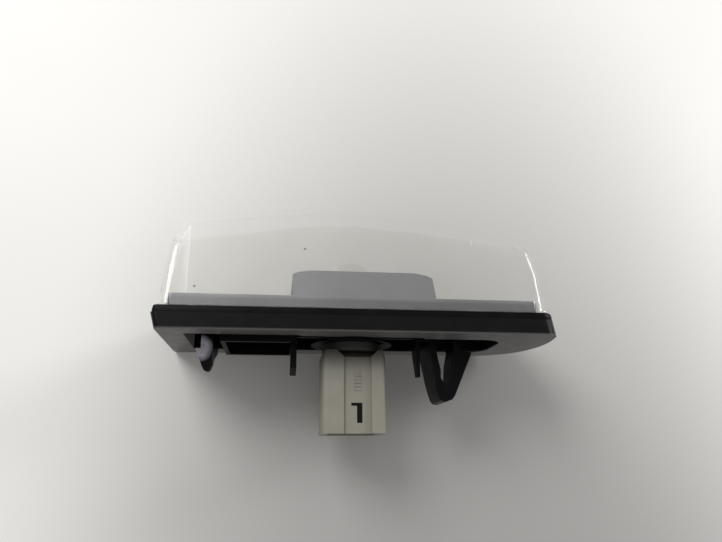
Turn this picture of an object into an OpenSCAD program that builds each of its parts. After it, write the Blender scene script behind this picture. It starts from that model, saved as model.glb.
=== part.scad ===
// Number plate lamp with a snap-in housing and a twist-in lamp holder.
// The origin is on the holder's axis, in the plane where the seal rests on the panel.
// X runs along the lamp, Y across it, and the lens stands on the +Z side.

/* [Seal] */
// Left end of the seal at its top, from the holder's axis
seal_left = 42.3; // [41.5:0.1:43.5]
// Middle of the seal's bowed right end, from the holder's axis
seal_right = 44.9; // [44.4:0.1:47]
// Width of the seal across the lamp
seal_depth = 30; // [29.6:0.1:32]
// Corner radius at the left end of the seal
seal_left_round = 1.2; // [1:0.1:2]
// Radius of the seal's front right corner
seal_front_round = 3; // [2.8:0.1:4]
// Radius of the seal's back right corner
seal_back_round = 14; // [12.5:0.5:14.5]
// Thickness of the seal
seal_t = 3.4; // [2.8:0.1:4.5]
// Left end of the opening in the seal, from the holder's axis
opening_left = 36.2; // [35.4:0.1:37.5]
// Right end of the opening in the seal, from the holder's axis
opening_right = 33.7; // [32:0.1:36]
// Width of the opening in front of the right-hand clip, from the holder's axis
opening_front = 7.6; // [7.3:0.1:9.6]

/* [Housing] */
// Thickness of the housing's floor plate
floor_t = 1.65; // [1.4:0.05:2.2]
// Step from the edge of the seal to the edge of the floor plate
floor_step = 0.25; // [0.2:0.05:0.6]
// Height of the rounding along the floor plate's upper edge
floor_round = 0.9; // [0.6:0.1:1.1]
// Wall thickness of the skirt under the floor plate
skirt_t = 1; // [0.8:0.1:1.4]
// Half width of the skirt over its outside faces
skirt_half = 9.2; // [8.8:0.1:9.4]
// Half width of the middle of the skirt over its outside faces
waist_half = 8.4; // [8.3:0.1:8.7]
// Left end of the skirt, from the holder's axis
skirt_left = 28.6; // [24:0.1:29.4]
// How far the skirt reaches below the seal
skirt_drop = 1.4; // [0.8:0.1:2]
// How far the middle of the skirt reaches below the seal
waist_drop = 0.2; // [0:0.1:0.5]

/* [Panel fixings] */
// Thickness of the panel that the hook and the clip hold
panel_t = 2.5; // [1.8:0.1:2.6]
// Front face of the hook and the clip, from the holder's axis
fixing_front = 6.4; // [5.4:0.1:6.8]
// Outer face of the hook's shank, from the holder's axis
hook_x = 32.8; // [32.4:0.1:34]
// Thickness of the hook's shank
hook_t = 2.5; // [2.3:0.1:3]
// Depth of the hook across the lamp
hook_depth = 12.8; // [11:0.1:13.4]
// How far the hook's barb stands out
barb = 1.2; // [0.8:0.1:1.5]
// How far the hook reaches below the seal
hook_drop = 7.4; // [6.4:0.1:8]
// Centre of the left guide rib, from the holder's axis
rib_left = 13.2; // [12.8:0.1:13.7]
// Centre of the right guide rib, from the holder's axis
rib_right = 14; // [13:0.1:14.4]
// Thickness of the left guide rib
rib_t = 1.3; // [1:0.1:1.5]
// Thickness of the right guide rib
rib_right_t = 0.8; // [0.6:0.1:1.2]
// Front edge of each guide rib, from the holder's axis
rib_front = 6.8; // [6:0.1:7.2]
// Depth of each guide rib across the lamp
rib_depth = 4.6; // [3:0.1:5]
// How far the left guide rib reaches below the seal
rib_left_drop = 7.7; // [5:0.1:9]
// Height of the slope at the foot of the left guide rib
rib_slope = 1.2; // [0.5:0.1:2]
// How far the right guide rib reaches below the seal
rib_right_drop = 8.2; // [5:0.1:9]
// Outer face of the clip's fixed leg, from the holder's axis
clip_x = 16.8; // [16.2:0.1:17.5]
// Thickness of the clip's fixed leg
clip_t = 1.5; // [1.2:0.1:1.7]
// Depth of the clip's free leg across the lamp
clip_depth = 6.9; // [5:0.1:8]
// Depth of the clip's fixed leg across the lamp at its top
leg_depth = 11.3; // [10:0.1:12.8]
// How far the clip reaches below the seal
clip_drop = 13.5; // [12:0.1:15]
// Width of the gap between the clip's two legs at its top
clip_gap = 3.9; // [3.4:0.1:4.3]
// Width of the clip's free leg at its latch
latch_w = 4; // [3.4:0.1:4.6]

/* [Lens] */
// Wall thickness of the lens
lens_wall = 1.3; // [1:0.1:1.6]
// Thickness of the lens's rim on the floor plate
lens_rim_t = 0.4; // [0.3:0.1:0.9]
// Step from the edge of the floor plate to the edge of the lens's rim
lens_rim_step = 0.6; // [0.5:0.1:0.9]
// Step from the edge of the lens's rim to the lens's wall
lens_step = 0.2; // [0.1:0.05:0.5]
// Extra step at the right end of the lens's wall
lens_end_step = 0.35; // [0.2:0.05:1]
// Radius of the lens's upper edges
lens_round = 2.2; // [1.9:0.1:2.6]
// Height of the highest place of the lens's front edge above the floor plate
lens_front = 19.6; // [17:0.1:22]
// Angle at which the lens's face climbs towards the back
lens_ramp = 29.3; // [24:0.1:33]
// Fall of the lens's front edge towards the left, in millimetres for each millimetre
front_left_fall = 0.165; // [0.1:0.005:0.2]
// Fall of the lens's front edge towards the right, in millimetres for each millimetre
front_right_fall = 0.125; // [0.1:0.005:0.2]
// Fall of the lens's back edge towards the left, in millimetres for each millimetre
back_left_fall = 0.13; // [0.1:0.005:0.2]
// Fall of the lens's back edge towards the right, in millimetres for each millimetre
back_right_fall = 0.115; // [0.1:0.005:0.2]

/* [Reflector] */
// Thickness of the reflector
reflector_t = 1.2; // [0.9:0.1:1.4]
// Height of the reflector's rim above the floor plate
reflector_rim = 3; // [2.5:0.1:4.5]
// Height of the reflector's hood above the floor plate
hood_height = 9.7; // [8:0.1:10.5]
// Left side of the hood, from the holder's axis
hood_left = 13.8; // [12.5:0.1:15]
// Right side of the hood at its foot, from the holder's axis
hood_right = 18.9; // [17.5:0.1:20]
// Half depth of the hood across the lamp
hood_half = 8.5; // [7.8:0.1:9]

/* [Lamp holder] */
// Radius of the holder's neck, which turns in the housing's port
neck_r = 6; // [5.9:0.05:6.1]
// Running clearance round the neck
turn_gap = 0.05; // [0.03:0.01:0.08]
// Width of each bayonet lug
lug_w = 4; // [3:0.1:4.4]
// Angle that the holder turns from locked to released
turn_angle = 45; // [42:1:50]
// Width of the plug shroud along the lamp
shroud_w = 13.7; // [13.4:0.1:14.4]
// Depth of the plug shroud across the lamp
shroud_d = 13; // [12.4:0.1:13.4]
// How far the plug shroud reaches below the seal
shroud_drop = 20.1; // [19:0.1:22]
// Depth of the plug socket
socket_depth = 10.4; // [9:0.1:10.6]
// Wall thickness of the plug shroud
shroud_wall = 1.5; // [1.3:0.1:1.6]
// Width of the recessed channel down the shroud's front
channel_w = 6; // [5:0.1:7]
// Depth of the recessed channel
channel_depth = 0.7; // [0.4:0.1:0.8]
// Sideways shift of the recessed channel
channel_shift = 0.7; // [0:0.1:0.9]

/* [Contacts and bulb] */
// Distance from the holder's axis to the middle of each blade
blade_x = 2.8; // [2.5:0.1:3]
// Width of each blade
blade_w = 2.8; // [2.4:0.1:2.9]
// Thickness of each blade
blade_t = 0.8; // [0.6:0.1:0.9]
// Radius of the bulb's glass
bulb_r = 5; // [4.8:0.05:5.1]
// Height of the bulb's tip above the seal's lower face
bulb_tip = 19.5; // [18:0.1:20.5]
// Width of the bulb's flat base
base_w = 9.5; // [9.2:0.1:9.6]
// Thickness of the bulb's flat base
base_t = 2.1; // [2:0.1:2.2]

/* [Hidden] */
$fn = 64;
hull_fn = 32;
wire_fn = 24;
// Small overlap that joins or cuts two solids cleanly
eps = 0.01;

// Levels, from the seal's lower face
floor_top = seal_t + floor_t;
ledge_low = -0.5;
ledge_top = 1.5;
// Lean of the seal's two ends over its thickness
seal_lean_left = 0.9;
seal_lean_right = 0.6;
// Bowed right end: its radius and middle, and how far its two corners stand back from it
end_bow = 34;
bow_y = -3;
bow_start = 2.5;
front_lean = 1.2;
back_lean = 0.55;
least_round = 0.5;
// Opening of the seal: its corner radius, and its clearances round the housing
opening_r = 5;
opening_gap = 0.3;
back_gap = 0.4;
// Floor plate and lens, from the holder's axis
floor_left = seal_left - floor_step;
floor_end_step = 0.1;
floor_right = seal_right - seal_lean_right - floor_end_step;
floor_depth = seal_depth - 2 * floor_step;
floor_shoulder = 0.2;
edge_layer = 0.1;
lens_side_step = lens_rim_step + lens_step;
lens_depth = floor_depth - 2 * lens_side_step;
lens_left = floor_left - lens_side_step;
lens_right = floor_right - lens_side_step - lens_end_step;
lens_left_corner = 2.2;
lens_front_corner = 2.6;
lens_back_corner = seal_back_round - 1.5;
// Lens wall: height of its foot, and level and lean of its middle
wall_foot = 1;
wall_middle = 8.5;
middle_left = 0.8;
middle_right = 1;
middle_side = 0.4;
// Lean of the lens's left end at the front and the back, of its right end and of its long sides
lean_left = 1.2;
lean_back_left = 0.25;
lean_right = 2.8;
lean_side = 0.55;
// Upper right end of the lens: where its front corner, middle and back corner stand
front_setback = 0.85;
end_setback = 0.95;
end_middle = 7;
top_corner = 8.5;
lens_steps = 10;
// Ridge of the lens: where it is highest, and how softly it turns there
ridge_x = -2;
ridge_soft = 8;
// Housing port
port_r = neck_r + turn_gap;
lug_r = neck_r + 1.6;
lug_t = 1.4;
lug_low = ledge_top + turn_gap;
recess_r = lug_r + 0.4;
port_tube_r = recess_r + 1.2;
notch_gap = 0.35;
stop_gap = 0.15;
stop_w = 1.8;
// Hook: step from the shank's outer face, and share of the drop below the panel
hook_side = [[-0.56, 0.3], [0.03, 0.56], [0.4, 0.75], [0.87, 0.94], [1.6, 1], [2.1, 0.94]];
hook_inner = 0.69;
// Foot of the hook from the front to the back: step from its front face, and share of its drop
hook_foot = [[1.7, 1], [2.9, 0.79], [5.4, 0.55]];
hook_back = 0.23;
// Clip: step from the fixed leg's outer face, and share of the clip's drop
clip_side = [
    [0.05, 0.16],
    [0.95, 0.57],
    [1.05, 0.78],
    [1.6, 0.92],
    [2.1, 0.98],
    [3.15, 1],
    [4.6, 0.96],
    [5.25, 0.9]
];
// Gap between the legs: step from the fixed leg's inner face or from the free leg, and share of the drop
gap_fixed = [[0.1, 0.23], [0.8, 0.49], [0.75, 0.62], [2, 0.75]];
gap_free = [[-0.95, 0.62], [-0.65, 0.37], [0, 0.14]];
leg_taper = 0.2;
// Back edge of the fixed leg: step from its top, and share of the drop
leg_back = [[0, 0.35], [-0.5, 0.6], [-2.5, 0.78], [-2.5, 1]];
latch_low = -panel_t - 0.1;
latch_edge = 0.3;
stub_top = 1.2;
stub_w = 1.6;
// Foot of each guide rib: its depth, and how far the edge behind it rises
left_foot = [rib_depth - 0.5, 0.5];
right_foot = [1.7, 5];
// Reflector
reflector_gap = 0.5;
bowl_r = 17;
bowl_floor = 2.2;
bulb_gap = 0.6;
port_gap = 0.8;
// Hood: lean of its right side, and drop of its top at its corners
hood_lean = 1.4;
hood_ease = 4.2;
hood_corner = 1.3;
hood_left_drop = 0.9;
hood_left_ease = 0.4;
hood_right_drop = 1.1;
hood_right_ease = 0.5;
// Holder
neck_top = floor_top - 0.45;
collar_r = neck_r + 0.6;
block_top = -2.4;
channel_top = -3.85;
channel_y = channel_depth - shroud_d / 2;
channel_flare = 1.5;
recess_slope = 2.2;
shoulder = 0.7;
right_shoulder = [[0.7, 0], [0.25, 0.9], [0, 2.6]];
// Small bars on the channel's floor
bar_count = 6;
bar_pitch = 0.75;
bar_first = -7.35;
bar_w = 1.5;
bar_h = 0.3;
bar_t = 0.15;
slot_gap = 0.03;
shroud_round = 1;
// Contacts
strip_t = 0.4;
strip_w = 2.6;
strip_top = 2;
blade_low = -18;
// Bulb
lead_r = 0.22;
lead_x = 2.4;
lead_end = -5.7;
lead_fold = 4;
bulb_wall = 0.7;
bulb_floor = 1.5;
bulb_low = neck_top + 0.1;
base_low = -5.45;
filament_z = 12.5;
filament_r = 0.45;
strip_y = base_t / 2 + 2 * lead_r + slot_gap;
// Pocket for the bulb's base and the two strips
base_gap = 0.35;
spring_gap = 0.55;
pocket_w = base_w + 2 * base_gap;
pocket_d = 2 * (strip_y + strip_t + spring_gap);
pocket_low = -6.45;

// Outline with a straight left end and a bowed right end
module outline(left, right, depth, r_left, r_front, r_back) {
    bow_r = end_bow - seal_right + right;
    bow_front = bow_start + r_front - depth / 2;
    hull() {
        for (side = [-1, 1]) {
            translate([r_left - left, side * (depth / 2 - r_left)])
                circle(r = r_left);
        }
        translate([right - front_lean - r_front, r_front - depth / 2])
            circle(r = r_front);
        translate([right - back_lean - r_back, depth / 2 - r_back])
            circle(r = r_back);
        intersection() {
            translate([right - bow_r, bow_y])
                circle(r = bow_r, $fn = 2 * $fn);
            translate([0, bow_front])
                square([right + 1, depth / 2 - r_back - bow_front]);
        }
    }
}

module floor_outline(inset) {
    outline(
        floor_left - inset,
        floor_right - inset,
        floor_depth - 2 * inset,
        max(seal_left_round - floor_step - inset, least_round),
        seal_front_round - floor_step - inset,
        seal_back_round - floor_step - inset
    );
}

// Opening of the seal: a wide left bay, a round middle and a rounded right bay
module seal_opening() {
    back = skirt_half + back_gap;
    translate([-opening_left, -back])
        square([opening_left - rib_left + rib_t, 2 * back]);
    circle(r = port_tube_r + opening_gap);
    translate([-rib_left, -waist_half - opening_gap])
        square([rib_left + rib_right + rib_t, 2 * (waist_half + opening_gap)]);
    hull() {
        translate([0, -opening_front])
            square([1, opening_front + back]);
        translate([opening_right - opening_r, opening_r - opening_front])
            circle(r = opening_r);
        translate([opening_right - opening_r, back - opening_r])
            circle(r = opening_r);
    }
}

// Thin slice of the seal at one level, drawn in by the lean of its ends
module seal_slice(level, lean_left, lean_right) {
    translate([0, 0, level])
        linear_extrude(eps)
            outline(
                seal_left - lean_left,
                seal_right - lean_right,
                seal_depth,
                seal_left_round,
                seal_front_round,
                seal_back_round
            );
}

module gasket() {
    color([0.16, 0.16, 0.17])
    difference() {
        hull() {
            seal_slice(0, seal_lean_left, 0);
            seal_slice(seal_t - eps, 0, seal_lean_right);
        }
        translate([0, 0, -1])
            linear_extrude(seal_t + 2)
                seal_opening();
    }
}

// Extrudes a profile drawn in X and Z from the front to the back
module across(front, back) {
    translate([0, back, 0])
        rotate([90, 0, 0])
            linear_extrude(back - front)
                children();
}

// Extrudes a profile drawn in Y and Z along the lamp
module along(left, right) {
    translate([left, 0, 0])
        rotate([90, 0, 90])
            linear_extrude(right - left)
                children();
}

// Hook with a barb under the panel; its foot rises to the back
module hook() {
    top = seal_t + eps;
    grip = hook_drop - panel_t;
    back = hook_depth - fixing_front;
    intersection() {
        across(-fixing_front, back)
            polygon(concat(
                [[-hook_x, top], [-hook_x, -panel_t], [-hook_x - barb, -panel_t]],
                [for (p = hook_side) [p[0] - hook_x, -panel_t - p[1] * grip]],
                [[hook_t - hook_x, -panel_t - hook_inner * grip], [hook_t - hook_x, top]]
            ));
        along(-hook_x - barb - 1, hook_t - hook_x + 1)
            polygon(concat(
                [[-fixing_front, top], [-fixing_front, -hook_drop]],
                [for (p = hook_foot) [p[0] - fixing_front, -p[1] * hook_drop]],
                [[back, -hook_back * hook_drop], [back, top]]
            ));
    }
}

// Front view of the spring clip: a fixed leg, a bend, and a wedge-shaped free leg with its latch
module clip_face() {
    top = seal_t + eps;
    inner = clip_x + clip_t;
    free = inner + clip_gap;
    difference() {
        polygon(concat(
            [[clip_x - leg_taper, top]],
            [for (p = clip_side) [clip_x + p[0], -p[1] * clip_drop]],
            [
                [free + latch_w, latch_low - latch_edge],
                [free + latch_w, latch_low],
                [free + stub_w, latch_low + latch_edge],
                [free + stub_w, stub_top],
                [inner - leg_taper, stub_top],
                [inner - leg_taper, top]
            ]
        ));
        polygon(concat(
            [[inner - leg_taper, stub_top + eps]],
            [for (p = gap_fixed) [inner + p[0], -p[1] * clip_drop]],
            [for (p = gap_free) [free + p[0], -p[1] * clip_drop]],
            [[free, stub_top + eps]]
        ));
    }
}

// Spring clip; its fixed leg is deeper than its free leg and narrows towards the bend
module clip() {
    leg_end = clip_x + clip_t + gap_fixed[3][0];
    back = leg_depth - fixing_front;
    across(-fixing_front, clip_depth - fixing_front)
        clip_face();
    intersection() {
        across(-fixing_front, back)
            clip_face();
        along(clip_x - 1, leg_end)
            polygon(concat(
                [[-fixing_front, seal_t + eps], [-fixing_front, -clip_drop]],
                [for (i = [3:-1:0]) [back + leg_back[i][0], -leg_back[i][1] * clip_drop]],
                [[back, seal_t + eps]]
            ));
    }
}

// Rib in front of the holder; its foot is sloped or cut back behind
module guide_rib(x, thick, drop, slope, foot) {
    back = rib_depth - rib_front;
    along(x - thick / 2, x + thick / 2)
        polygon([
            [-rib_front, seal_t + eps],
            [-rib_front, slope - drop],
            [foot[0] - rib_front, -drop],
            [back, foot[1] - drop],
            [back, seal_t + eps]
        ]);
}

// Walls that hang from the floor plate and centre the lamp in the panel
module skirt() {
    bay = skirt_left - rib_left;
    wall_h = waist_drop + seal_t + eps;
    translate([0, 0, -skirt_drop])
        linear_extrude(skirt_drop + seal_t + eps)
            difference() {
                translate([-skirt_left, -skirt_half])
                    square([bay + rib_t / 2, 2 * skirt_half]);
                translate([skirt_t - skirt_left, skirt_t - skirt_half])
                    square([bay - skirt_t - rib_t / 2, 2 * (skirt_half - skirt_t)]);
            }
    for (side = [-1, 1]) {
        translate([-rib_left, side * (waist_half - skirt_t / 2) - skirt_t / 2, -waist_drop])
            cube([rib_left + rib_right, skirt_t, wall_h]);
    }
    translate([rib_right, -fixing_front, -waist_drop])
        cube([clip_x + clip_t / 2 - rib_right, skirt_t, wall_h]);
}

// Floor plate with a rounded upper edge
module floor_plate() {
    hull() {
        translate([0, 0, seal_t])
            linear_extrude(floor_t - floor_round)
                floor_outline(0);
        translate([0, 0, floor_top - floor_round / 3])
            linear_extrude(edge_layer)
                floor_outline(floor_shoulder);
        translate([0, 0, floor_top - edge_layer])
            linear_extrude(edge_layer)
                floor_outline(lens_rim_step);
    }
}

// Bayonet port: a ledge that the holder's lugs lock above, with two notches to let them through
module port_cuts() {
    translate([0, 0, ledge_low - eps])
        cylinder(r = port_r, h = floor_top - ledge_low + 2 * eps);
    translate([0, 0, ledge_top])
        cylinder(r = recess_r, h = floor_top - ledge_top + eps);
    for (side = [0, 180]) {
        rotate([0, 0, side - turn_angle])
            translate([0, -lug_w / 2 - notch_gap, ledge_low - waist_drop])
                cube([lug_r + notch_gap, lug_w + 2 * notch_gap, ledge_top - ledge_low + waist_drop + eps]);
    }
}

// Stops beside the lugs at both ends of the turn
module port_stops() {
    intersection() {
        translate([0, 0, ledge_top - eps])
            difference() {
                cylinder(r = recess_r + eps, h = lug_t);
                translate([0, 0, -eps])
                    cylinder(r = port_r, h = lug_t + 2 * eps);
            }
        for (side = [0, 180]) {
            rotate([0, 0, side])
                translate([0, lug_w / 2 + stop_gap, 0])
                    cube([recess_r + 1, stop_w, floor_top]);
            rotate([0, 0, side - turn_angle])
                translate([0, -lug_w / 2 - stop_gap - notch_gap - stop_w, 0])
                    cube([recess_r + 1, stop_w, floor_top]);
        }
    }
}

module housing() {
    color([0.05, 0.05, 0.055]) {
        difference() {
            union() {
                floor_plate();
                translate([0, 0, ledge_low])
                    cylinder(r = port_tube_r, h = seal_t - ledge_low + eps);
                skirt();
                guide_rib(-rib_left, rib_t, rib_left_drop, rib_slope, left_foot);
                guide_rib(rib_right, rib_right_t, rib_right_drop, 0, right_foot);
                hook();
                clip();
            }
            port_cuts();
            translate([0, 0, -skirt_drop - 1])
                cylinder(r = shroud_w / 2 + opening_gap, h = skirt_drop + 1 + ledge_low);
        }
        port_stops();
    }
}

// How far the lens's edges lie below the ridge at a place along the lamp
function fall(x, left, right) =
    (x < ridge_x ? left : right) * (sqrt(pow(x - ridge_x, 2) + pow(ridge_soft, 2)) - ridge_soft);

// Outline of the lens's wall, drawn in at its ends and along its sides
module wall_outline(at_left, at_right, at_side) {
    outline(
        lens_left - at_left,
        lens_right - at_right,
        lens_depth - 2 * at_side,
        max(lens_left_corner - at_side, least_round),
        max(lens_front_corner - at_side, least_round),
        lens_back_corner - at_side
    );
}

// Ball that rounds the lens's upper edge; share runs from 0 at the front to 1 at the back
module edge_ball(x, share, radius) {
    edge_y = lens_depth / 2 - lean_side - lens_round;
    front_z = -fall(x, front_left_fall, front_right_fall);
    back_z = 2 * edge_y * tan(lens_ramp) - fall(x, back_left_fall, back_right_fall);
    z = floor_top + lens_front - lens_round + front_z + share * (back_z - front_z);
    translate([x, (2 * share - 1) * edge_y, z])
        sphere(r = radius, $fn = hull_fn);
}

// Closed wedge of the lens's shape, drawn inwards by skin
module lens_form(skin) {
    radius = lens_round - skin;
    edge_depth = lens_depth - 2 * (lean_side + lens_round);
    front_left = lens_round + lean_left - lens_left;
    back_left = lens_round + lean_back_left - lens_left;
    end_x = lens_right - lens_round - lean_right;
    front_right = end_x - front_setback;
    arc_x = end_x - end_setback - top_corner;
    hull() {
        translate([0, 0, floor_top])
            linear_extrude(wall_foot)
                wall_outline(skin, skin, skin);
        translate([0, 0, floor_top + wall_middle])
            linear_extrude(eps)
                wall_outline(middle_left + skin, middle_right + skin, middle_side + skin);
        for (i = [0:lens_steps]) {
            edge_ball(front_left + (front_right - front_left) * i / lens_steps, 0, radius);
            edge_ball(back_left + (arc_x - back_left) * i / lens_steps, 1, radius);
        }
        edge_ball(end_x, end_middle / edge_depth, radius);
        for (angle = [0, 30, 60]) {
            edge_ball(
                arc_x + top_corner * cos(angle),
                1 - top_corner * (1 - sin(angle)) / edge_depth,
                radius
            );
        }
    }
}

module lens() {
    color([0.93, 0.95, 0.96, 0.3])
    difference() {
        union() {
            lens_form(0);
            translate([0, 0, floor_top])
                linear_extrude(lens_rim_t)
                    floor_outline(lens_rim_step);
        }
        translate([0, 0, -eps])
            lens_form(lens_wall);
    }
}

// Front view of the hood, with its corners eased
module hood_face() {
    top_right = hood_right - hood_lean;
    polygon([
        [-hood_left, 0],
        [-hood_left, hood_height - hood_left_drop],
        [hood_corner - hood_left, hood_height - hood_left_ease],
        [hood_ease - hood_left, hood_height],
        [top_right - hood_ease, hood_height],
        [top_right - hood_corner, hood_height - hood_right_ease],
        [top_right, hood_height - hood_right_drop],
        [hood_right, 0]
    ]);
}

// Trough-shaped bowl round the bulb, inside a square-sided hood
module hood() {
    middle = (hood_right - hood_left) / 2;
    inner_half = hood_half - reflector_t;
    under_w = hood_left + hood_right - hood_lean - 2 * reflector_t;
    difference() {
        across(-hood_half, hood_half)
            hood_face();
        translate([middle, 0, bowl_floor + bowl_r])
            rotate([90, 0, 0])
                cylinder(r = bowl_r, h = 2 * inner_half, center = true);
        difference() {
            translate([reflector_t - hood_left, -inner_half, -eps])
                cube([under_w, 2 * inner_half, hood_height]);
            translate([middle, 0, bowl_floor + bowl_r])
                rotate([90, 0, 0])
                    cylinder(r = bowl_r + reflector_t, h = 2 * hood_half, center = true);
        }
    }
}

module reflector() {
    inset = lens_wall + reflector_gap;
    inner = inset + reflector_t;
    color([0.75, 0.76, 0.78])
    translate([0, 0, floor_top])
        difference() {
            union() {
                difference() {
                    linear_extrude(reflector_rim)
                        wall_outline(inset, inset, inset);
                    translate([0, 0, reflector_t])
                        linear_extrude(reflector_rim)
                            wall_outline(inner, inner, inner);
                }
                hood();
            }
            translate([0, 0, -1])
                cylinder(r = neck_r + port_gap, h = 1 + reflector_t / 2);
            translate([0, 0, -1])
                cylinder(r = bulb_r + bulb_gap, h = hood_height);
        }
}

module shroud_outline(grow) {
    offset(r = shroud_round)
        square(
            [shroud_w + 2 * grow - 2 * shroud_round, shroud_d + 2 * grow - 2 * shroud_round],
            center = true
        );
}

// Block with the plug shroud, its upper corners cut off
module shroud_block() {
    half = shroud_w / 2;
    low = -shroud_drop - 1;
    intersection() {
        translate([0, 0, -shroud_drop])
            linear_extrude(shroud_drop + block_top)
                shroud_outline(0);
        across(-shroud_d, shroud_d)
            polygon(concat(
                [
                    [-half - eps, low],
                    [-half - eps, block_top - shoulder],
                    [shoulder - half, block_top + eps]
                ],
                [for (p = right_shoulder) [half - p[0] + eps, block_top - p[1] + eps]],
                [[half + eps, low]]
            ));
    }
}

// Channel down the shroud's front, with a sloping recess at its top
module front_channel() {
    left = channel_shift - channel_w / 2;
    right = channel_shift + channel_w / 2;
    translate([left, -shroud_d, -shroud_drop - 1])
        cube([channel_w, shroud_d + channel_y, shroud_drop + channel_top + 1]);
    intersection() {
        across(-shroud_d, 0)
            polygon([
                [left, channel_top - eps],
                [left - channel_flare, block_top],
                [right + channel_flare, block_top],
                [right, channel_top - eps]
            ]);
        along(-shroud_w, shroud_w)
            polygon([
                [-shroud_d, channel_top - eps],
                [channel_y, channel_top - eps],
                [channel_y + recess_slope, block_top],
                [-shroud_d, block_top]
            ]);
    }
}

module bulb_holder() {
    color([0.80, 0.77, 0.68]) {
        difference() {
            union() {
                shroud_block();
                translate([0, 0, block_top - eps])
                    cylinder(r = collar_r, h = ledge_low - turn_gap - block_top + eps);
                translate([0, 0, block_top])
                    cylinder(r = neck_r, h = neck_top - block_top);
                intersection() {
                    translate([0, 0, lug_low])
                        cylinder(r = lug_r, h = lug_t);
                    cube([3 * lug_r, lug_w, 3 * lug_r], center = true);
                }
            }
            // Plug socket
            translate([0, 0, -shroud_drop - eps])
                linear_extrude(socket_depth + eps)
                    shroud_outline(-shroud_wall);
            front_channel();
            // Pocket for the bulb's base
            translate([-pocket_w / 2, -pocket_d / 2, pocket_low])
                cube([pocket_w, pocket_d, neck_top - pocket_low + eps]);
            // Slots for the blades
            for (side = [-1, 1]) {
                translate([side * blade_x, 0, -shroud_drop / 2])
                    cube([blade_w + 2 * slot_gap, blade_t + 2 * slot_gap, shroud_drop], center = true);
            }
        }
        for (i = [1:bar_count]) {
            translate([0, channel_y - bar_t, bar_first - (i - 1) * bar_pitch])
                cube([bar_w, bar_t + eps, bar_h]);
        }
    }
}

// Stamped contact: a blade in the plug socket and a spring strip beside the bulb's base
module contact(side) {
    color([0.78, 0.70, 0.48]) {
        translate([side * blade_x - blade_w / 2, -blade_t / 2, blade_low])
            cube([blade_w, blade_t, pocket_low + strip_t - blade_low]);
        translate([side * lead_x - strip_w / 2, 0, pocket_low])
            mirror([0, side > 0 ? 0 : 1, 0])
                cube([strip_w, strip_y + strip_t, strip_t]);
        translate([side * lead_x - strip_w / 2, 0, pocket_low])
            mirror([0, side > 0 ? 0 : 1, 0])
                translate([0, strip_y, 0])
                    cube([strip_w, strip_t, strip_top - pocket_low]);
    }
}

module contact_left() {
    contact(-1);
}

module contact_right() {
    contact(1);
}

module bulb_glass() {
    color([0.95, 0.96, 0.94, 0.35])
    difference() {
        union() {
            translate([0, 0, bulb_low])
                cylinder(r = bulb_r, h = bulb_tip - bulb_r - bulb_low);
            translate([0, 0, bulb_tip - bulb_r])
                sphere(r = bulb_r);
            translate([-base_w / 2, -base_t / 2, base_low])
                cube([base_w, base_t, bulb_low - base_low + eps]);
        }
        translate([0, 0, bulb_low + bulb_floor])
            cylinder(r = bulb_r - bulb_wall, h = bulb_tip - bulb_r - bulb_low - bulb_floor);
        translate([0, 0, bulb_tip - bulb_r])
            sphere(r = bulb_r - bulb_wall);
        for (side = [-1, 1]) {
            translate([side * lead_x, 0, base_low - 1])
                cylinder(r = lead_r + slot_gap, h = bulb_low - base_low + 2 * bulb_floor, $fn = wire_fn);
        }
    }
}

module bulb_filament() {
    color([0.45, 0.43, 0.42])
    translate([0, 0, filament_z])
        rotate([0, 90, 0])
            cylinder(r = filament_r, h = 2 * (lead_x - lead_r) - 2 * slot_gap, center = true, $fn = wire_fn);
}

// Wire from the filament down through the base and folded up against its face
module bulb_lead(side) {
    color([0.70, 0.70, 0.72]) {
        translate([side * lead_x, 0, lead_end])
            cylinder(r = lead_r, h = filament_z + 2 * lead_r - lead_end, $fn = wire_fn);
        translate([side * lead_x, 0, lead_end])
            rotate([side > 0 ? -90 : 90, 0, 0])
                cylinder(r = lead_r, h = base_t / 2 + lead_r, $fn = wire_fn);
        translate([side * lead_x, side * (base_t / 2 + lead_r), lead_end])
            cylinder(r = lead_r, h = lead_fold, $fn = wire_fn);
    }
}

module bulb_lead_left() {
    bulb_lead(-1);
}

module bulb_lead_right() {
    bulb_lead(1);
}

gasket();
housing();
lens();
reflector();
bulb_holder();
contact_left();
contact_right();
bulb_glass();
bulb_filament();
bulb_lead_left();
bulb_lead_right();
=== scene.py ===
import math

import bmesh
import bpy
from bpy.props import FloatProperty, FloatVectorProperty, IntProperty, PointerProperty
from mathutils import Matrix, Vector


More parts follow.
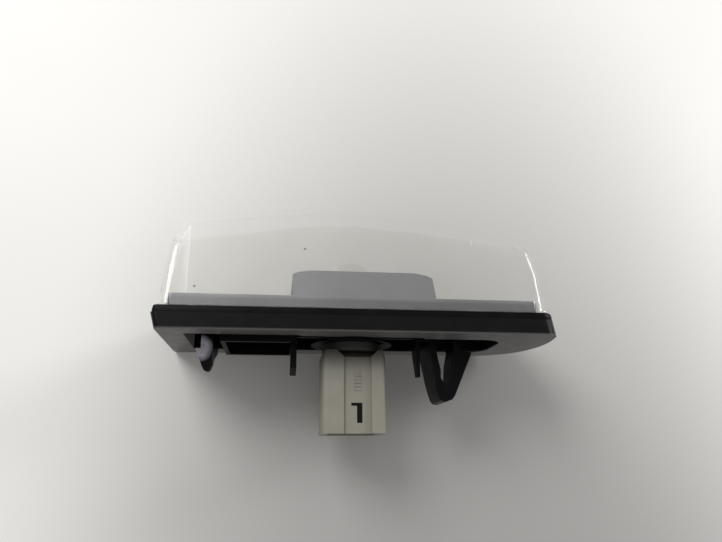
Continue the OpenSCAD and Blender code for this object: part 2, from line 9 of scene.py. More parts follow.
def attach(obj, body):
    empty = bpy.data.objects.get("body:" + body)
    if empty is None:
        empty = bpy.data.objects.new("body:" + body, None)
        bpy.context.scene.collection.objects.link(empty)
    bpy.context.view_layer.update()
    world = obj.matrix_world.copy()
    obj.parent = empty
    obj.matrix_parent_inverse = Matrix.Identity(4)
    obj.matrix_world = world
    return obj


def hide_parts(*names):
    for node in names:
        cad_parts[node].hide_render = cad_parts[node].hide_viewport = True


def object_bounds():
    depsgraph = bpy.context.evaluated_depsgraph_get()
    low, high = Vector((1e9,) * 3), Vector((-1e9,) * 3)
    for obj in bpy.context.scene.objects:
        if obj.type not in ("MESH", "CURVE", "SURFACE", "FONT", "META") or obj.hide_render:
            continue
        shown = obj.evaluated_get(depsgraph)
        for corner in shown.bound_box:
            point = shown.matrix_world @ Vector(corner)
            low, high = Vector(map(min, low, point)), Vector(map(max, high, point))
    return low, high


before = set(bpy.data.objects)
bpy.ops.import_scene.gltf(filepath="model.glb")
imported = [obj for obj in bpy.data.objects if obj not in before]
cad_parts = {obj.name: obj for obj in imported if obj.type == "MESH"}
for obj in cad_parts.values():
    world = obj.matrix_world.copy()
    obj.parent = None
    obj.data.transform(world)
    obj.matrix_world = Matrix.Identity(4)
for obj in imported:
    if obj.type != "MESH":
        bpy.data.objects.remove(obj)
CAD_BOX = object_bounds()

bl_info = {
    "name": "Number Plate Lamp",
    "version": (1, 0, 0),
    "blender": (4, 5, 0),
    "location": "View3D > Sidebar > Lamp",
    "description": "Dresses a snap-in number plate lamp and puts a pale surface behind it",
    "category": "Add Mesh",
}

MM = 0.001

# Corners closer than this are merged in copies of the CAD meshes and in the filament's coil
CAD_MERGE = 0.002 * MM
COIL_MERGE = 0.0001 * MM
# Faces that lean apart by less than this are one flat face
FLAT_ANGLE = math.radians(0.8)
# Heights closer than this are the same
SAME_HEIGHT = 0.001 * MM

# Painted sheen: the seal turns paler from the first height down to the second, close to its
# underside, standing in for its grazing reflection there
SEAL_SIDE = 0.5 * MM
SEAL_UNDERSIDE = 0.05 * MM

# Middle of the hook's front, which has a painted highlight, how far that reaches and how patchy it
# is
HOOK_FRONT = (-33.0 * MM, -6.4 * MM, -2.5 * MM)
HIGHLIGHT_REACH = 3.0 * MM
HIGHLIGHT_PATCH = 1.2 * MM

# Painted shade: the reflector turns darker from the top of its rim, at the first height, down to
# the second, standing in for the dark housing it reflects there
RIM_LIT = 8 * MM
RIM_DARK = 7 * MM
RIM_SHADE_SHARE = 0.68

# Two specks on the front of the lens
LENS_SPECKS = ((-11.4 * MM, -13.5 * MM, 18 * MM), (-34 * MM, -13.75 * MM, 9.1 * MM))
SPECK_REACH = 0.35 * MM
SPECK_PATCH = 0.5 * MM
SPECK_COLOUR = (0.03, 0.03, 0.03)

# How strongly the clear pieces bend the view, and how strongly their glossy skin reflects
CLEAR_IOR = 1.008
SKIN_IOR = 1.5

# Painted shade: the holder turns dark from the first height up to the second, just under its port,
# where the seal shades it
HOLDER_LIT = -7.5 * MM
HOLDER_DARK = -1 * MM
HOLDER_SHADE_SHARE = 0.06
# Floor of the channel down the front of the plug shroud, and the moulded bars on it
CHANNEL_Y = -5.8 * MM
MARKS_X = 0.75 * MM
MARKS_HALF = 0.8 * MM
MARKS_LOW = -11.5 * MM
MARKS_HIGH = -7.2 * MM
# The printed figure under the bars: an upright stroke and a flag at its top
FIGURE_Z = -15.8 * MM
FIGURE_DEPTH = 0.04 * MM
FIGURE_BEVEL = 0.3 * FIGURE_DEPTH
STROKE_X = 1.15 * MM
STROKE_WIDTH = 1.15 * MM
FLAG_X = 0
FLAG_WIDTH = 1.3 * MM
FLAG_HEIGHT = 0.64 * MM

# The bulb's dome, and the rings below it: height, half width and half depth
BULB_RADIUS = 5 * MM
BULB_TIP = 19.5 * MM
GLASS_RINGS = (
    (9 * MM, BULB_RADIUS, BULB_RADIUS),
    (7.4 * MM, 4.96 * MM, 4.5 * MM),
    (6 * MM, 4.9 * MM, 3.2 * MM),
    (5 * MM, 4.8 * MM, 1.7 * MM),
    (4 * MM, 4.75 * MM, 1.05 * MM),
    (0, 4.75 * MM, 1.05 * MM),
    (-5.45 * MM, 4.7 * MM, 1 * MM),
)
HOLLOW_TOP_RING = 9.2 * MM
HOLLOW_RINGS = (
    (7.8 * MM, 4.2 * MM, 3.8 * MM),
    (6.8 * MM, 3.8 * MM, 2.4 * MM),
    (6.3 * MM, 3 * MM, 1.2 * MM),
)
FILAMENT_Z = 12.5 * MM
FILAMENT_LENGTH = 3.6 * MM
FILAMENT_WIRE = 0.07 * MM

# The surface just behind the lamp, and its painted shade: a fade from dark to pale away from a
# place below it
SURFACE_SIZE = 6
SURFACE_Y = CAD_BOX[1][1] + 0.02 * MM
SURFACE_LEAN = math.radians(2.6)
FADE_SQUEEZE = (1, 0, 0.2)
FADE_MIDDLE = (30.8 * MM, 0, -150.5 * MM)
FADE_START = 139.7 * MM
FADE_END = 184 * MM
FADE_SHADE_SHARE = 0.44

# Each light's name, place, aim, size and power
LIGHTS = (
    ("window light", (-0.35, -0.55, 0.40), (0, 0, 0), 0.42, 3.7),
    ("side light", (0.45, -0.20, 0.22), (0.04, 0, 0.015), 0.2, 1.2),
)
ROOM_COLOUR = (1.0, 0.99, 0.975)
ROOM_STRENGTH = 0.49

# The camera, in metres, with its directions and its lens in millimetres
CAMERA_PLACE = (-16.45 * MM, -145.67 * MM, -25.75 * MM)
CAMERA_RIGHT = (0.99197, -0.12627, -0.00688)
CAMERA_UP = (-0.02909, -0.28078, 0.95933)
CAMERA_BACK = (-0.12307, -0.95143, -0.28220)
CAMERA_LENS = 32.27
CAMERA_SENSOR = 36


class LampSizes(bpy.types.PropertyGroup):
    """Sizes of what the solids leave to the scene"""
    seal_edge: FloatProperty(
        name="Seal edge", description="Radius of the seal's edges",
        default=0.7 * MM, min=0.1 * MM, max=1.2 * MM, unit="LENGTH", precision=5)
    housing_edge: FloatProperty(
        name="Housing edge", description="Radius of the housing's edges",
        default=0.18 * MM, min=0.05 * MM, max=0.3 * MM, unit="LENGTH", precision=5)
    holder_edge: FloatProperty(
        name="Holder edge", description="Radius of the lamp holder's edges",
        default=0.2 * MM, min=0.05 * MM, max=0.4 * MM, unit="LENGTH", precision=5)
    reflector_edge: FloatProperty(
        name="Reflector edge", description="Radius of the reflector's edges",
        default=0.3 * MM, min=0.05 * MM, max=0.5 * MM, unit="LENGTH", precision=5)
    contact_edge: FloatProperty(
        name="Contact edge", description="Radius of the contacts' edges",
        default=0.08 * MM, min=0.02 * MM, max=0.15 * MM, unit="LENGTH", precision=5)
    lens_edge: FloatProperty(
        name="Lens edge", description="Radius of the edges of the lens's rim",
        default=0.06 * MM, min=0.02 * MM, max=0.1 * MM, unit="LENGTH", precision=5)
    glass_wall: FloatProperty(
        name="Glass wall", description="Wall thickness of the bulb's glass",
        default=0.6 * MM, min=0.4 * MM, max=1 * MM, unit="LENGTH", precision=5)
    coil_radius: FloatProperty(
        name="Coil radius", description="Outside radius of the filament's coil",
        default=0.42 * MM, min=0.3 * MM, max=0.45 * MM, unit="LENGTH", precision=5)
    coil_turns: IntProperty(
        name="Coil turns", description="Turns of the filament's coil",
        default=11, min=4, max=20)
    figure_height: FloatProperty(
        name="Figure height", description="Height of the plain figure printed on the holder",
        default=4.2 * MM, min=2 * MM, max=6 * MM, unit="LENGTH", precision=5)


class LampColours(bpy.types.PropertyGroup):
    """Colours of the pieces and of the surface behind them"""
    seal: FloatVectorProperty(
        name="Seal", description="Colour of the seal's rubber",
        default=(0.004, 0.0037, 0.0042), min=0, max=1, subtype="COLOR")
    # Painted sheen: the colour painted on the seal's underside, standing in for its grazing
    # reflection
    painted_seal_sheen: FloatVectorProperty(
        name="Seal underside", description="Colour of the seal where it rests on the panel",
        default=(0.07, 0.068, 0.066), min=0, max=1, subtype="COLOR")
    housing: FloatVectorProperty(
        name="Housing", description="Colour of the housing's plastic",
        default=(0.0025, 0.0022, 0.003), min=0, max=1, subtype="COLOR")
    # Painted highlight: the colour painted on the front of the hook, standing in for its glint
    rubbed: FloatVectorProperty(
        name="Rubbed hook", description="Colour of the rubbed front of the hook",
        default=(0.52, 0.50, 0.575), min=0, max=1, subtype="COLOR")
    holder: FloatVectorProperty(
        name="Holder", description="Colour of the lamp holder's plastic",
        default=(0.215, 0.208, 0.17), min=0, max=1, subtype="COLOR")
    ink: FloatVectorProperty(
        name="Ink", description="Colour of the printed figure",
        default=(0.004, 0.0038, 0.003), min=0, max=1, subtype="COLOR")
    reflector: FloatVectorProperty(
        name="Reflector", description="Colour of the reflector's metal coating",
        default=(0.175, 0.174, 0.18), min=0, max=1, subtype="COLOR")
    contact: FloatVectorProperty(
        name="Contacts", description="Colour of the contacts' brass",
        default=(0.72, 0.58, 0.32), min=0, max=1, subtype="COLOR")
    lens: FloatVectorProperty(
        name="Lens", description="Tint of the lens",
        default=(0.995, 0.995, 0.99), min=0, max=1, subtype="COLOR")
    glass: FloatVectorProperty(
        name="Glass", description="Tint of the bulb's glass",
        default=(0.993, 0.996, 0.965), min=0, max=1, subtype="COLOR")
    lead: FloatVectorProperty(
        name="Leads", description="Colour of the bulb's lead wires",
        default=(0.60, 0.60, 0.62), min=0, max=1, subtype="COLOR")
    filament: FloatVectorProperty(
        name="Filament", description="Colour of the filament's wire",
        default=(0.30, 0.29, 0.29), min=0, max=1, subtype="COLOR")
    surface: FloatVectorProperty(
        name="Surface", description="Colour of the surface behind the lamp",
        default=(0.815, 0.806, 0.785), min=0, max=1, subtype="COLOR")


def deselect():
    """Leaves edit mode and selects nothing."""
    if bpy.context.object and bpy.context.object.mode != "OBJECT":
        bpy.ops.object.mode_set(mode="OBJECT")
    bpy.ops.object.select_all(action="DESELECT")


def activate(piece):
    deselect()
    piece.select_set(True)
    bpy.context.view_layer.objects.active = piece


def edit(piece, kind="FACE"):
    activate(piece)
    bpy.ops.object.mode_set(mode="EDIT")
    bpy.ops.mesh.select_mode(type=kind)


def select_all_mesh():
    bpy.ops.mesh.select_all(action="SELECT")


def pick(piece, kind, test):
    """Selects the faces, edges or corners whose middle passes a test, in edit mode."""
    bpy.ops.mesh.select_mode(type=kind)
    bpy.ops.mesh.select_all(action="DESELECT")
    mesh = bmesh.from_edit_mesh(piece.data)
    if kind == "FACE":
        found = [face for face in mesh.faces if test(face.calc_center_median())]
    elif kind == "EDGE":
        found = [edge for edge in mesh.edges if test((edge.verts[0].co + edge.verts[1].co) / 2)]
    else:
        found = [corner for corner in mesh.verts if test(corner.co)]
    if not found:
        raise RuntimeError(f"nothing to select on {piece.name}")
    for part in found:
        part.select_set(True)
    mesh.select_flush_mode()
    bmesh.update_edit_mesh(piece.data)


def apply_transform():
    bpy.ops.object.transform_apply(location=True, rotation=True, scale=True)


def apply_modifier(piece, kind, **settings):
    activate(piece)
    modifier = piece.modifiers.new(kind.lower(), kind)
    for key, value in settings.items():
        setattr(modifier, key, value)
    bpy.ops.object.modifier_apply(modifier=modifier.name)


def join(pieces):
    """Joins pieces into the first of them."""
    deselect()
    for piece in pieces:
        piece.select_set(True)
    bpy.context.view_layer.objects.active = pieces[0]
    bpy.ops.object.join()


def copy_of(node, name):
    """A merged copy of a CAD node's mesh, with its flat faces whole again."""
    piece = bpy.data.objects.new(name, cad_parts[node].data.copy())
    piece.data.name = name
    piece.data.materials.clear()
    bpy.context.scene.collection.objects.link(piece)
    edit(piece)
    select_all_mesh()
    bpy.ops.mesh.remove_doubles(threshold=CAD_MERGE)
    bpy.ops.mesh.dissolve_limited(angle_limit=FLAT_ANGLE)
    deselect()
    return piece


def round_edges(piece, radius, segments=2, angle=38, sharp=None):
    """Rounds every edge over an angle, except those whose middle passes a test."""
    form = bmesh.new()
    form.from_mesh(piece.data)
    shares = [0.0] * len(form.edges)
    for edge in form.edges:
        if edge.calc_face_angle(0) > math.radians(angle):
            middle = (edge.verts[0].co + edge.verts[1].co) / 2
            shares[edge.index] = 0 if sharp and sharp(middle) else 1
    form.free()
    weight = piece.data.attributes.new("bevel_weight_edge", "FLOAT", "EDGE")
    for index, share in enumerate(shares):
        weight.data[index].value = share
    apply_modifier(
        piece, "BEVEL", width=radius, segments=segments, limit_method="WEIGHT",
        use_clamp_overlap=True, harden_normals=False, miter_outer="MITER_ARC")


def smooth(piece, angle=40):
    """Smooth shading between sharp edges, with the flat faces kept flat."""
    activate(piece)
    bpy.ops.object.shade_smooth_by_angle(angle=math.radians(angle))
    apply_modifier(piece, "WEIGHTED_NORMAL", keep_sharp=True, weight=50)


def seat(piece, body, material, slot_name, *nodes):
    """Gives a piece its material and hangs it on its body, in place of its CAD nodes."""
    piece.data.materials.append(material)
    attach(piece, body)
    if nodes:
        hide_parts(*nodes)
    deselect()


def add_node(tree, kind, **settings):
    node = tree.nodes.new("ShaderNode" + kind)
    for key, value in settings.items():
        setattr(node, key, value)
    return node


def blank_material(name):
    material = bpy.data.materials.new(name)
    material.use_nodes = True
    tree = material.node_tree
    return material, tree, tree.nodes["Principled BSDF"]


def maths(tree, operation, first, second):
    """Works out one value from two, each a number or an output."""
    node = add_node(tree, "Math", operation=operation)
    for socket, value in zip(node.inputs, (first, second)):
        if isinstance(value, (int, float)):
            socket.default_value = value
        else:
            tree.links.new(value, socket)
    return node.outputs[0]


def object_place(tree):
    return add_node(tree, "TexCoord").outputs["Object"]


def distance(tree, place, middle):
    away = add_node(tree, "VectorMath", operation="DISTANCE")
    tree.links.new(place, away.inputs[0])
    away.inputs[1].default_value = middle
    return away.outputs["Value"]


def cloud(tree, scale, detail=3):
    """Noise in millimetres on Object coordinates."""
    noise = add_node(tree, "TexNoise")
    noise.inputs["Scale"].default_value = 1000 / scale
    noise.inputs["Detail"].default_value = detail
    tree.links.new(object_place(tree), noise.inputs["Vector"])
    return noise.outputs["Fac"]


def spread(tree, value, low, high, start=0.3, end=0.7):
    """Turns what runs from start to end into what runs from low to high."""
    span = add_node(tree, "MapRange")
    span.inputs["From Min"].default_value = start
    span.inputs["From Max"].default_value = end
    span.inputs["To Min"].default_value = low
    span.inputs["To Max"].default_value = high
    tree.links.new(value, span.inputs["Value"])
    return span.outputs["Result"]


def eased(tree, value, start, end):
    """Rises softly from 0 at the start to 1 at the end."""
    rise = add_node(tree, "MapRange", interpolation_type="SMOOTHSTEP")
    rise.inputs["From Min"].default_value = start
    rise.inputs["From Max"].default_value = end
    tree.links.new(value, rise.inputs["Value"])
    return rise.outputs["Result"]


def shaded(colour, share):
    return tuple(min(1, c * share) for c in colour)


def two_shades(tree, value, dark, light, start=0.3, end=0.7):
    ramp = add_node(tree, "ValToRGB")
    ramp.color_ramp.elements[0].position = start
    ramp.color_ramp.elements[1].position = end
    ramp.color_ramp.elements[0].color = (*dark, 1)
    ramp.color_ramp.elements[1].color = (*light, 1)
    tree.links.new(value, ramp.inputs["Fac"])
    return ramp.outputs["Color"]


def blended(tree, share, shade, colour):
    """A shade that turns into a colour by a share, through the Mix node's colour sockets."""
    mix = add_node(tree, "Mix", data_type="RGBA")
    tree.links.new(share, mix.inputs[0])
    tree.links.new(shade, mix.inputs[6])
    mix.inputs[7].default_value = (*colour, 1)
    return mix.outputs[2]


def towards(tree, shade, colour, start, end):
    """Turns a shade into another colour from one height to another."""
    height = add_node(tree, "SeparateXYZ")
    tree.links.new(object_place(tree), height.inputs[0])
    return blended(tree, eased(tree, height.outputs["Z"], start, end), shade, colour)


def spot(tree, shade, middle, reach, colour, patch):
    """Turns a shade into another colour round a place, with an uneven edge."""
    away = distance(tree, object_place(tree), middle)
    core = 0.55 * reach
    near = spread(tree, away, 1, 0, core, reach)
    patches = spread(tree, cloud(tree, patch / MM), 0.6, 1)
    return blended(tree, maths(tree, "MULTIPLY", near, patches), shade, colour)


def grain(tree, shader, scale, depth):
    bump = add_node(tree, "Bump")
    bump.inputs["Distance"].default_value = depth
    bump.inputs["Strength"].default_value = 1
    tree.links.new(cloud(tree, scale, detail=2), bump.inputs["Height"])
    tree.links.new(bump.outputs["Normal"], shader.inputs["Normal"])


def uneven(name, colour, contrast, patch, gloss_patch, rough, grain_size, grain_depth,
           turned=None, rubbed=None):
    """A material of two close shades, with uneven gloss and a fine grain."""
    material, tree, shader = blank_material(name)
    shade = two_shades(
        tree, cloud(tree, patch), shaded(colour, 1 - contrast), shaded(colour, 1 + contrast))
    # A painted shade or sheen that changes with height
    if turned:
        shade = towards(tree, shade, *turned)
    # A painted highlight round a place
    if rubbed:
        shade = spot(tree, shade, *rubbed)
    tree.links.new(shade, shader.inputs["Base Color"])
    tree.links.new(spread(tree, cloud(tree, gloss_patch), *rough), shader.inputs["Roughness"])
    grain(tree, shader, grain_size, grain_depth)
    return material, shader


def moulded(name, colour, contrast, patch, rough, grain_size, grain_depth, specular=0.5,
            **shading):
    """Moulded plastic, rubber or ink."""
    material, shader = uneven(
        name, colour, contrast, patch, patch / 2, rough, grain_size, grain_depth, **shading)
    shader.inputs["Specular IOR Level"].default_value = specular
    return material


def metal(name, colour, contrast, patch, rough, grain_size, grain_depth, **shading):
    """Metal or a metal coating."""
    material, shader = uneven(
        name, colour, contrast, patch, patch / 3, rough, grain_size, grain_depth, **shading)
    shader.inputs["Metallic"].default_value = 1
    return material


def front_only(tree):
    """1 on the front of a face and 0 on its back."""
    side = add_node(tree, "NewGeometry")
    return maths(tree, "SUBTRACT", 1, side.outputs["Backfacing"])


def show_between(tree, share, first, second):
    """Shows the first shader, and the second by a share."""
    mix = add_node(tree, "MixShader")
    tree.links.new(share, mix.inputs["Fac"])
    tree.links.new(first, mix.inputs[1])
    tree.links.new(second, mix.inputs[2])
    tree.links.new(mix.outputs["Shader"], tree.nodes["Material Output"].inputs["Surface"])


def clear(name, tint, rough, patch, specks=()):
    """Clear plastic or glass that hardly bends the view, with a glossy skin and a light shadow."""
    material, tree, shader = blank_material(name)
    shade = two_shades(tree, cloud(tree, patch), shaded(tint, 0.985), tint)
    for place in specks:
        shade = spot(tree, shade, place, SPECK_REACH, SPECK_COLOUR, SPECK_PATCH)
    tree.links.new(shade, shader.inputs["Base Color"])
    shader.inputs["Roughness"].default_value = 0
    shader.inputs["IOR"].default_value = CLEAR_IOR
    shader.inputs["Transmission Weight"].default_value = 1
    shader.inputs["Coat IOR"].default_value = SKIN_IOR
    tree.links.new(front_only(tree), shader.inputs["Coat Weight"])
    gloss = spread(tree, cloud(tree, patch / 3), *rough)
    tree.links.new(gloss, shader.inputs["Coat Roughness"])
    # Light passes straight through, so that what is inside is lit as what is outside
    passing = add_node(tree, "BsdfTransparent")
    tree.links.new(shade, passing.inputs["Color"])
    rays = add_node(tree, "LightPath")
    lighting = maths(
        tree, "MAXIMUM", rays.outputs["Is Shadow Ray"], rays.outputs["Is Diffuse Ray"])
    show_between(tree, lighting, shader.outputs["BSDF"], passing.outputs["BSDF"])
    return material


class LAMP_OT_seal(bpy.types.Operator):
    """Round-edged rubber seal under the housing"""
    bl_idname = "lamp.seal"
    bl_label = "Seal"

    def execute(self, context):
        sizes, colours = context.scene.lamp_sizes, context.scene.lamp_colours
        piece = copy_of("gasket", "seal_band")
        round_edges(piece, sizes.seal_edge, segments=4, angle=50)
        smooth(piece)
        material = moulded(
            "seal rubber", colours.seal, contrast=0.12, patch=6, rough=(0.32, 0.42),
            grain_size=0.25, grain_depth=0.006 * MM, specular=0.12,
            # Painted sheen on the seal's underside
            turned=(colours.painted_seal_sheen, SEAL_SIDE, SEAL_UNDERSIDE))
        shader = material.node_tree.nodes["Principled BSDF"]
        shader.inputs["Sheen Weight"].default_value = 0.9
        shader.inputs["Sheen Roughness"].default_value = 0.15
        seat(piece, "lamp", material, "seal_rubber", "gasket")
        return {"FINISHED"}


class LAMP_OT_housing(bpy.types.Operator):
    """Black housing with its hook, guide ribs, spring clip and port"""
    bl_idname = "lamp.housing"
    bl_label = "Housing"

    def execute(self, context):
        sizes, colours = context.scene.lamp_sizes, context.scene.lamp_colours
        piece = copy_of("housing", "housing_moulding")
        round_edges(piece, sizes.housing_edge)
        smooth(piece)
        material = moulded(
            "housing plastic", colours.housing, contrast=0.2, patch=8, rough=(0.3, 0.42),
            grain_size=0.3, grain_depth=0.004 * MM, specular=0.08,
            # Painted highlight on the front of the hook
            rubbed=(HOOK_FRONT, HIGHLIGHT_REACH, colours.rubbed, HIGHLIGHT_PATCH))
        seat(piece, "lamp", material, "housing_plastic", "housing")
        return {"FINISHED"}


class LAMP_OT_reflector(bpy.types.Operator):
    """Metallised reflector tray with its hood"""
    bl_idname = "lamp.reflector"
    bl_label = "Reflector"

    def execute(self, context):
        sizes, colours = context.scene.lamp_sizes, context.scene.lamp_colours
        piece = copy_of("reflector", "reflector_tray")
        round_edges(piece, sizes.reflector_edge)
        smooth(piece)
        material = metal(
            "reflector coating", colours.reflector, contrast=0.06, patch=14, rough=(0.45, 0.55),
            grain_size=0.6, grain_depth=0.004 * MM,
            # Painted shade on the reflector's rim
            turned=(shaded(colours.reflector, RIM_SHADE_SHARE), RIM_LIT, RIM_DARK))
        seat(piece, "lamp", material, "reflector_metallised", "reflector")
        return {"FINISHED"}


class LAMP_OT_lens(bpy.types.Operator):
    """Clear wedge-shaped lens with a thin rim at its foot"""
    bl_idname = "lamp.lens"
    bl_label = "Lens"

    def execute(self, context):
        sizes, colours = context.scene.lamp_sizes, context.scene.lamp_colours
        piece = copy_of("lens", "lens_cover")
        round_edges(piece, sizes.lens_edge, angle=60)
        smooth(piece, angle=45)
        material = clear(
            "lens plastic", colours.lens, rough=(0.05, 0.11), patch=12, specks=LENS_SPECKS)
        seat(piece, "lamp", material, "lens_clear", "lens")
        return {"FINISHED"}


class LAMP_OT_holder(bpy.types.Operator):
    """Twist-in lamp holder with its printed figure"""
    bl_idname = "lamp.holder"
    bl_label = "Lamp Holder"

    def on_marks(self, at):
        """Whether a place is on the moulded bars above the figure."""
        return at.y < 0 and abs(at.x - MARKS_X) < MARKS_HALF and MARKS_LOW < at.z < MARKS_HIGH

    def bar(self, x, z, width, height):
        """A thin bar with softened edges on the floor of the channel."""
        bpy.ops.mesh.primitive_cube_add(size=1, location=(x, CHANNEL_Y, z))
        piece = bpy.context.object
        piece.scale = (width, FIGURE_DEPTH, height)
        apply_transform()
        bpy.ops.object.mode_set(mode="EDIT")
        pick(piece, "EDGE", lambda at: at.y < CHANNEL_Y - FIGURE_DEPTH / 4)
        bpy.ops.mesh.bevel(offset=FIGURE_BEVEL, segments=2)
        deselect()
        return piece

    def figure(self, sizes, colours):
        """The plain figure printed on the front of the plug shroud."""
        high = sizes.figure_height
        piece = self.bar(STROKE_X, FIGURE_Z, STROKE_WIDTH, high)
        flag = self.bar(FLAG_X, FIGURE_Z + (high - FLAG_HEIGHT) / 2, FLAG_WIDTH, FLAG_HEIGHT)
        join([piece, flag])
        piece.name = piece.data.name = "holder_figure"
        smooth(piece)
        ink = moulded(
            "printed ink", colours.ink, contrast=0.3, patch=1.5, rough=(0.5, 0.65),
            grain_size=0.2, grain_depth=0.002 * MM, specular=0.1)
        seat(piece, "holder", ink, "holder_plastic")

    def execute(self, context):
        sizes, colours = context.scene.lamp_sizes, context.scene.lamp_colours
        piece = copy_of("bulb_holder", "holder_body")
        round_edges(piece, sizes.holder_edge, sharp=self.on_marks)
        smooth(piece)
        material = moulded(
            "holder plastic", colours.holder, contrast=0.05, patch=5, rough=(0.42, 0.55),
            grain_size=0.3, grain_depth=0.004 * MM,
            # Painted shade on the holder's top, under the seal
            turned=(shaded(colours.holder, HOLDER_SHADE_SHARE), HOLDER_LIT, HOLDER_DARK))
        seat(piece, "holder", material, "holder_plastic", "bulb_holder")
        self.figure(sizes, colours)
        return {"FINISHED"}


class LAMP_OT_contacts(bpy.types.Operator):
    """Brass contacts in the plug socket"""
    bl_idname = "lamp.contacts"
    bl_label = "Contacts"

    def execute(self, context):
        sizes, colours = context.scene.lamp_sizes, context.scene.lamp_colours
        material = metal(
            "contact brass", colours.contact, contrast=0.12, patch=2, rough=(0.25, 0.4),
            grain_size=0.15, grain_depth=0.003 * MM)
        for side in ("left", "right"):
            node = "contact_" + side
            piece = copy_of(node, "contact_strip_" + side)
            round_edges(piece, sizes.contact_edge)
            smooth(piece)
            seat(piece, "holder", material, "contact_brass", node)
        return {"FINISHED"}


class LAMP_OT_bulb(bpy.types.Operator):
    """Wedge-base bulb: glass with a hollow, coiled filament and lead wires"""
    bl_idname = "lamp.bulb"
    bl_label = "Bulb"

    def envelope(self, name, radius, tip, rings, inward):
        """A dome drawn down through rings, with its faces turned out or inward."""
        deselect()
        middle = tip - radius
        bpy.ops.mesh.primitive_uv_sphere_add(
            segments=48, ring_count=24, radius=radius, location=(0, 0, middle))
        piece = bpy.context.object
        piece.name = piece.data.name = name
        apply_transform()
        bpy.ops.object.mode_set(mode="EDIT")
        pick(piece, "FACE", lambda at: at.z < middle)
        bpy.ops.mesh.delete(type="FACE")
        width, depth, level = radius, radius, middle
        for z, half_x, half_y in rings:
            pick(piece, "VERT", lambda at: abs(at.z - level) < SAME_HEIGHT)
            bpy.ops.mesh.select_mode(type="EDGE")
            bpy.ops.mesh.extrude_region_move(TRANSFORM_OT_translate={"value": (0, 0, z - level)})
            bpy.ops.transform.resize(
                value=(half_x / width, half_y / depth, 1), center_override=(0, 0, z))
            width, depth, level = half_x, half_y, z
        pick(piece, "VERT", lambda at: abs(at.z - level) < SAME_HEIGHT)
        bpy.ops.mesh.select_mode(type="EDGE")
        bpy.ops.mesh.edge_face_add()
        select_all_mesh()
        bpy.ops.mesh.normals_make_consistent(inside=inward)
        deselect()
        return piece

    def glass(self, sizes, colours):
        """The bulb's glass, hollow above its flat base."""
        wall = sizes.glass_wall
        inner = BULB_RADIUS - wall
        outside = self.envelope("bulb_envelope", BULB_RADIUS, BULB_TIP, GLASS_RINGS, False)
        inside = self.envelope(
            "bulb_hollow", inner, BULB_TIP - wall,
            ((HOLLOW_TOP_RING, inner, inner), *HOLLOW_RINGS), True)
        join([outside, inside])
        smooth(outside, angle=60)
        material = clear("bulb glass", colours.glass, rough=(0.02, 0.06), patch=6)
        seat(outside, "holder", material, "bulb_glass", "bulb_glass")

    def coil(self, sizes, colours):
        """One ring of wire, wound along the gap between the leads."""
        deselect()
        bpy.ops.mesh.primitive_circle_add(
            vertices=8, radius=FILAMENT_WIRE,
            location=(-FILAMENT_LENGTH / 2, 0, sizes.coil_radius - FILAMENT_WIRE),
            rotation=(0, math.radians(90), math.radians(90)))
        piece = bpy.context.object
        piece.name = piece.data.name = "filament_coil"
        apply_transform()
        apply_modifier(
            piece, "SCREW", axis="X", angle=math.radians(360), steps=20, render_steps=20,
            screw_offset=FILAMENT_LENGTH / sizes.coil_turns, iterations=sizes.coil_turns,
            use_merge_vertices=True, merge_threshold=COIL_MERGE)
        edit(piece, "VERT")
        select_all_mesh()
        bpy.ops.mesh.remove_doubles(threshold=COIL_MERGE)
        bpy.ops.mesh.select_all(action="DESELECT")
        bpy.ops.mesh.select_non_manifold()
        bpy.ops.mesh.edge_face_add()
        select_all_mesh()
        bpy.ops.transform.translate(value=(0, 0, FILAMENT_Z))
        bpy.ops.mesh.normals_make_consistent(inside=False)
        deselect()
        smooth(piece, angle=60)
        material = metal(
            "filament wire", colours.filament, contrast=0.15, patch=1, rough=(0.4, 0.55),
            grain_size=0.1, grain_depth=0.001 * MM)
        seat(piece, "holder", material, "filament_wire", "bulb_filament")

    def leads(self, colours):
        """The wires that carry the filament."""
        material = metal(
            "lead wire", colours.lead, contrast=0.1, patch=1, rough=(0.25, 0.4),
            grain_size=0.1, grain_depth=0.002 * MM)
        for side in ("left", "right"):
            node = "bulb_lead_" + side
            piece = copy_of(node, "lead_wire_" + side)
            smooth(piece, angle=50)
            seat(piece, "holder", material, "lead_wire", node)

    def execute(self, context):
        sizes, colours = context.scene.lamp_sizes, context.scene.lamp_colours
        self.glass(sizes, colours)
        self.coil(sizes, colours)
        self.leads(colours)
        return {"FINISHED"}


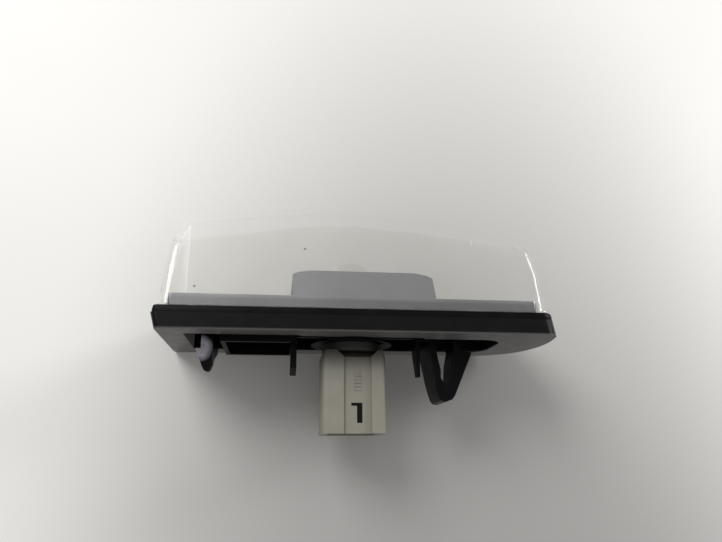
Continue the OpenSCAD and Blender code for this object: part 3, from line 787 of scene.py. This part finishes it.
class LAMP_OT_stage(bpy.types.Operator):
    """Pale surface behind the lamp, soft light and the camera"""
    bl_idname = "lamp.stage"
    bl_label = "Stage"

    def surface_material(self, colour):
        """A pale surface with painted shade fading out across it, seen from its front alone, that
        gives the lamp no light.
        """
        material, tree, shader = blank_material("pale surface")
        squeeze = add_node(tree, "Mapping")
        squeeze.inputs["Scale"].default_value = FADE_SQUEEZE
        tree.links.new(object_place(tree), squeeze.inputs["Vector"])
        away = distance(tree, squeeze.outputs["Vector"], FADE_MIDDLE)
        # Painted shade: darkest round a place below the lamp, paler away from it
        fade = eased(tree, away, FADE_START, FADE_END)
        shade = two_shades(tree, fade, shaded(colour, FADE_SHADE_SHARE), colour, 0, 1)
        tree.links.new(shade, shader.inputs["Base Color"])
        tree.links.new(spread(tree, cloud(tree, 60), 0.3, 0.4), shader.inputs["Roughness"])
        shader.inputs["Specular IOR Level"].default_value = 0.15
        rays = add_node(tree, "LightPath")
        seen = maths(tree, "MAXIMUM", rays.outputs["Is Camera Ray"], rays.outputs["Is Glossy Ray"])
        seen = maths(tree, "MAXIMUM", seen, rays.outputs["Is Transmission Ray"])
        share = maths(tree, "MULTIPLY", seen, front_only(tree))
        hole = add_node(tree, "BsdfTransparent")
        show_between(tree, share, hole.outputs["BSDF"], shader.outputs["BSDF"])
        return material

    def surface(self, colour):
        deselect()
        bpy.ops.mesh.primitive_plane_add(
            size=SURFACE_SIZE, location=(0, SURFACE_Y, 0),
            rotation=(math.radians(90) + SURFACE_LEAN, 0, 0))
        piece = bpy.context.object
        piece.name = piece.data.name = "surface"
        apply_transform()
        piece.data.materials.append(self.surface_material(colour))

    def add_light(self, name, place, aim, size, power):
        deselect()
        bpy.ops.object.light_add(type="AREA", location=place)
        lamp = bpy.context.object
        lamp.name = lamp.data.name = name
        lamp.data.shape = "DISK"
        lamp.data.size = size
        lamp.data.energy = power
        lamp.rotation_mode = "QUATERNION"
        lamp.rotation_quaternion = (Vector(aim) - Vector(place)).to_track_quat("-Z", "Y")

    def room(self, scene):
        world = bpy.data.worlds.new("soft room")
        scene.world = world
        world.use_nodes = True
        sky = world.node_tree.nodes["Background"]
        sky.inputs["Color"].default_value = (*ROOM_COLOUR, 1)
        sky.inputs["Strength"].default_value = ROOM_STRENGTH
        scene.view_settings.view_transform = "Standard"

    def camera(self, scene):
        data = bpy.data.cameras.new("camera")
        data.sensor_width = CAMERA_SENSOR
        data.lens = CAMERA_LENS
        data.clip_start = 0.005
        data.clip_end = 20
        camera = bpy.data.objects.new("camera", data)
        scene.collection.objects.link(camera)
        turn = Matrix((CAMERA_RIGHT, CAMERA_UP, CAMERA_BACK)).transposed()
        camera.matrix_world = Matrix.Translation(CAMERA_PLACE) @ turn.to_4x4()
        scene.camera = camera

    def execute(self, context):
        scene = context.scene
        self.surface(scene.lamp_colours.surface)
        for light in LIGHTS:
            self.add_light(*light)
        self.room(scene)
        self.camera(scene)
        return {"FINISHED"}


class LAMP_PT_panel(bpy.types.Panel):
    bl_idname = "LAMP_PT_panel"
    bl_label = "Number Plate Lamp"
    bl_space_type = "VIEW_3D"
    bl_region_type = "UI"
    bl_category = "Lamp"

    def draw(self, context):
        for maker in MAKERS:
            self.layout.operator(maker.bl_idname)
        for group in (context.scene.lamp_sizes, context.scene.lamp_colours):
            box = self.layout.box()
            for key in group.__annotations__:
                box.prop(group, key)


MAKERS = (
    LAMP_OT_stage,
    LAMP_OT_seal,
    LAMP_OT_housing,
    LAMP_OT_reflector,
    LAMP_OT_lens,
    LAMP_OT_holder,
    LAMP_OT_contacts,
    LAMP_OT_bulb,
)
CLASSES = (LampSizes, LampColours, *MAKERS, LAMP_PT_panel)


def register():
    for each in CLASSES:
        bpy.utils.register_class(each)
    bpy.types.Scene.lamp_sizes = PointerProperty(type=LampSizes)
    bpy.types.Scene.lamp_colours = PointerProperty(type=LampColours)


def unregister():
    del bpy.types.Scene.lamp_colours
    del bpy.types.Scene.lamp_sizes
    for each in reversed(CLASSES):
        bpy.utils.unregister_class(each)


def main():
    register()
    bpy.ops.lamp.stage()
    bpy.ops.lamp.seal()
    bpy.ops.lamp.housing()
    bpy.ops.lamp.reflector()
    bpy.ops.lamp.lens()
    bpy.ops.lamp.holder()
    bpy.ops.lamp.contacts()
    bpy.ops.lamp.bulb()


if __name__ == "__main__":
    main()
